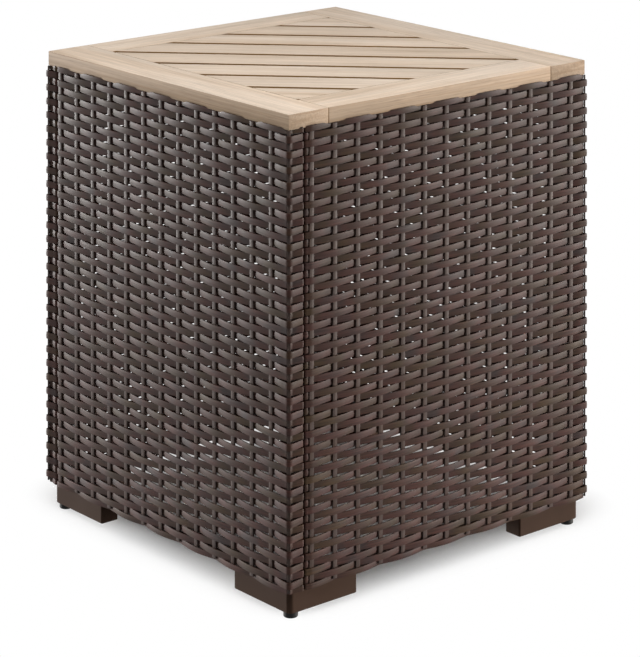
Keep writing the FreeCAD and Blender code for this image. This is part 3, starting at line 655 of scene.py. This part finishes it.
def planed_wood(name, light, dark, scale):
    material, shader = start_material(name, 0.65)
    bands = noise(material, object_place(material, scale), detail=4.0, Distortion=0.5)
    colour = ramp(material, bands, [(0.32, dark), (0.62, light)])
    wire(material, colour, shader.inputs["Base Color"])
    finer = tuple(9 * step for step in scale)
    fibres = noise(material, object_place(material, finer), detail=2.0)
    rough_up(material, shader, fibres, 0.35, 0.0003)
    return material


batten_wood = planed_wood("batten_wood", (0.50, 0.36, 0.23), (0.34, 0.22, 0.13), (70, 2.5, 70))
dress(["top_right_batten", "top_left_batten", "top_right_cleat", "top_left_cleat"], batten_wood)
dowel_wood = planed_wood("dowel_wood", (0.72, 0.58, 0.40), (0.58, 0.43, 0.28), (160, 8, 160))
dress(["top_dowels"], dowel_wood)

# The floor: a plain pale ground. It shows as white to the camera and in gloss, except close round
# the table, where the shadow stays, further out at the left and behind than at the right and in
# front.
floor_size = 14
bounced_grey = 0.45
shadow_grey = 0.9
far_share = 0.78
shadow_edge = 0.155
shadow_fade = 0.097


def seen_directly(material):
    """1 for what the camera sees, directly or in gloss or glass, and 0 for light that bounces."""
    rays = add_node(material, "ShaderNodeLightPath").outputs
    total = rays["Is Camera Ray"]
    for kind in ("Is Glossy Ray", "Is Transmission Ray"):
        total = calculate(material, "MAXIMUM", total, rays[kind])[0]
    return total


def calculate_place(operation, *values):
    return calculate(floor_paint, operation, *values, kind="ShaderNodeVectorMath")["Vector"]


bpy.ops.object.select_all(action="DESELECT")
bpy.ops.mesh.primitive_plane_add(size=floor_size, location=(0, 0, 0))
floor = bpy.context.object
floor.name = "floor"
floor_paint, shader = start_material("floor_paint", 0.9)
shader.inputs["Specular IOR Level"].default_value = 0
seen = seen_directly(floor_paint)
greys = shades(floor_paint, seen, 0.0, 1.0, bounced_grey, shadow_grey)
wire(floor_paint, greys, shader.inputs["Base Color"])
place = add_node(floor_paint, "ShaderNodeTexCoord").outputs["Object"]
near_sides = calculate_place("MULTIPLY", place, (1, -1, 0))
far_sides = calculate_place("MULTIPLY", place, (-far_share, far_share, 0))
outwards = calculate_place("MAXIMUM", near_sides, far_sides)
beyond = calculate_place("SUBTRACT", outwards, (shadow_edge, shadow_edge, 0))
beyond = calculate_place("MAXIMUM", beyond, (0, 0, 0))
distance = calculate(floor_paint, "LENGTH", beyond, kind="ShaderNodeVectorMath")["Value"]
away = add_node(floor_paint, "ShaderNodeMapRange", {"interpolation_type": "SMOOTHSTEP"},
                Value=distance, From_Min=0.0, From_Max=shadow_fade)
white = calculate(floor_paint, "MULTIPLY", away.outputs["Result"], seen)[0]
glow = add_node(floor_paint, "ShaderNodeEmission", Color=(1, 1, 1, 1), Strength=1.0)
mixed = add_node(floor_paint, "ShaderNodeMixShader", Fac=white)
wire(floor_paint, shader.outputs["BSDF"], mixed.inputs[1])
wire(floor_paint, glow.outputs["Emission"], mixed.inputs[2])
surface = floor_paint.node_tree.nodes["Material Output"].inputs["Surface"]
wire(floor_paint, mixed.outputs["Shader"], surface)
floor.data.materials.append(floor_paint)

# The studio: a pale surround that shows as white, two low, wide soft boxes with honeycomb grids, at
# the left and behind on the right, and a square one overhead.
surround_light = 0.20
world = bpy.data.worlds.new("studio")
world.use_nodes = True
bpy.context.scene.world = world
background = world.node_tree.nodes["Background"]
background.inputs["Color"].default_value = (1, 1, 1, 1)
strength = add_node(world, "ShaderNodeMapRange", To_Min=surround_light, To_Max=1.0)
wire(world, seen_directly(world), strength.inputs["Value"])
wire(world, strength.outputs["Result"], background.inputs["Strength"])


def soft_box(name, place, aim, width, height, spread, power, colour):
    bpy.ops.object.light_add(type="AREA", location=place)
    lamp = bpy.context.object
    lamp.name = name
    lamp.data.shape = "RECTANGLE"
    lamp.data.size = width
    lamp.data.size_y = height
    lamp.data.energy = power
    lamp.data.color = colour
    lamp.data.spread = math.radians(spread)
    lamp.rotation_euler = (Vector(aim) - lamp.location).to_track_quat("-Z", "Y").to_euler()


soft_box("left_box", place=(-4.77, -1.78, 0.17), aim=(0.25, -0.23, -0.38),
         width=1.0, height=0.32, spread=28, power=18.5, colour=(1.0, 0.97, 0.95))
soft_box("right_box", place=(2.70, 4.32, 0.17), aim=(0, 0, -0.12),
         width=1.0, height=0.32, spread=28, power=15.0, colour=(1.0, 0.93, 0.87))
soft_box("overhead_box", place=(0.7, -0.6, 2.1), aim=(0, 0, 0.3),
         width=1.5, height=1.5, spread=180, power=38, colour=(1.0, 1.0, 1.0))

# The camera looks down at the table with its back kept upright, as a view camera does for product
# pictures, so that the table's upright edges stay parallel. Its axes aren't square to each other,
# so they are in the tripod's inverse, and its lens isn't shifted.
table_side = 0.45
near_corner = Vector((0.225, -0.225, 0.543))
look_right = Vector((0.6452, 0.7640, 0.0)).normalized()
look_ahead = Vector((-look_right.y, look_right.x, 0.0))
up = Vector((0, 0, 1))
corner_right, corner_ahead, corner_up = -0.0740724, 6.499959, -1.44015
to_corner = corner_right * look_right + corner_ahead * look_ahead + corner_up * up
camera_place = near_corner - table_side * to_corner
drop = 0.29945
back = -(look_ahead - drop * up).normalized()
bpy.ops.object.camera_add(location=(0, 0, 0))
camera = bpy.context.object
camera.name = "camera"
camera.data.sensor_width = 36
camera.data.lens = 156.9
camera.data.clip_start = 0.1
camera.data.clip_end = 50
bpy.ops.object.empty_add(location=(0, 0, 0))
tripod = bpy.context.object
tripod.name = "tripod"
camera.parent = tripod
axes = Matrix((look_right, up, back)).transposed().to_4x4()
camera.matrix_parent_inverse = Matrix.Translation(camera_place) @ axes
bpy.context.scene.camera = camera
bpy.context.scene.view_settings.view_transform = "Standard"
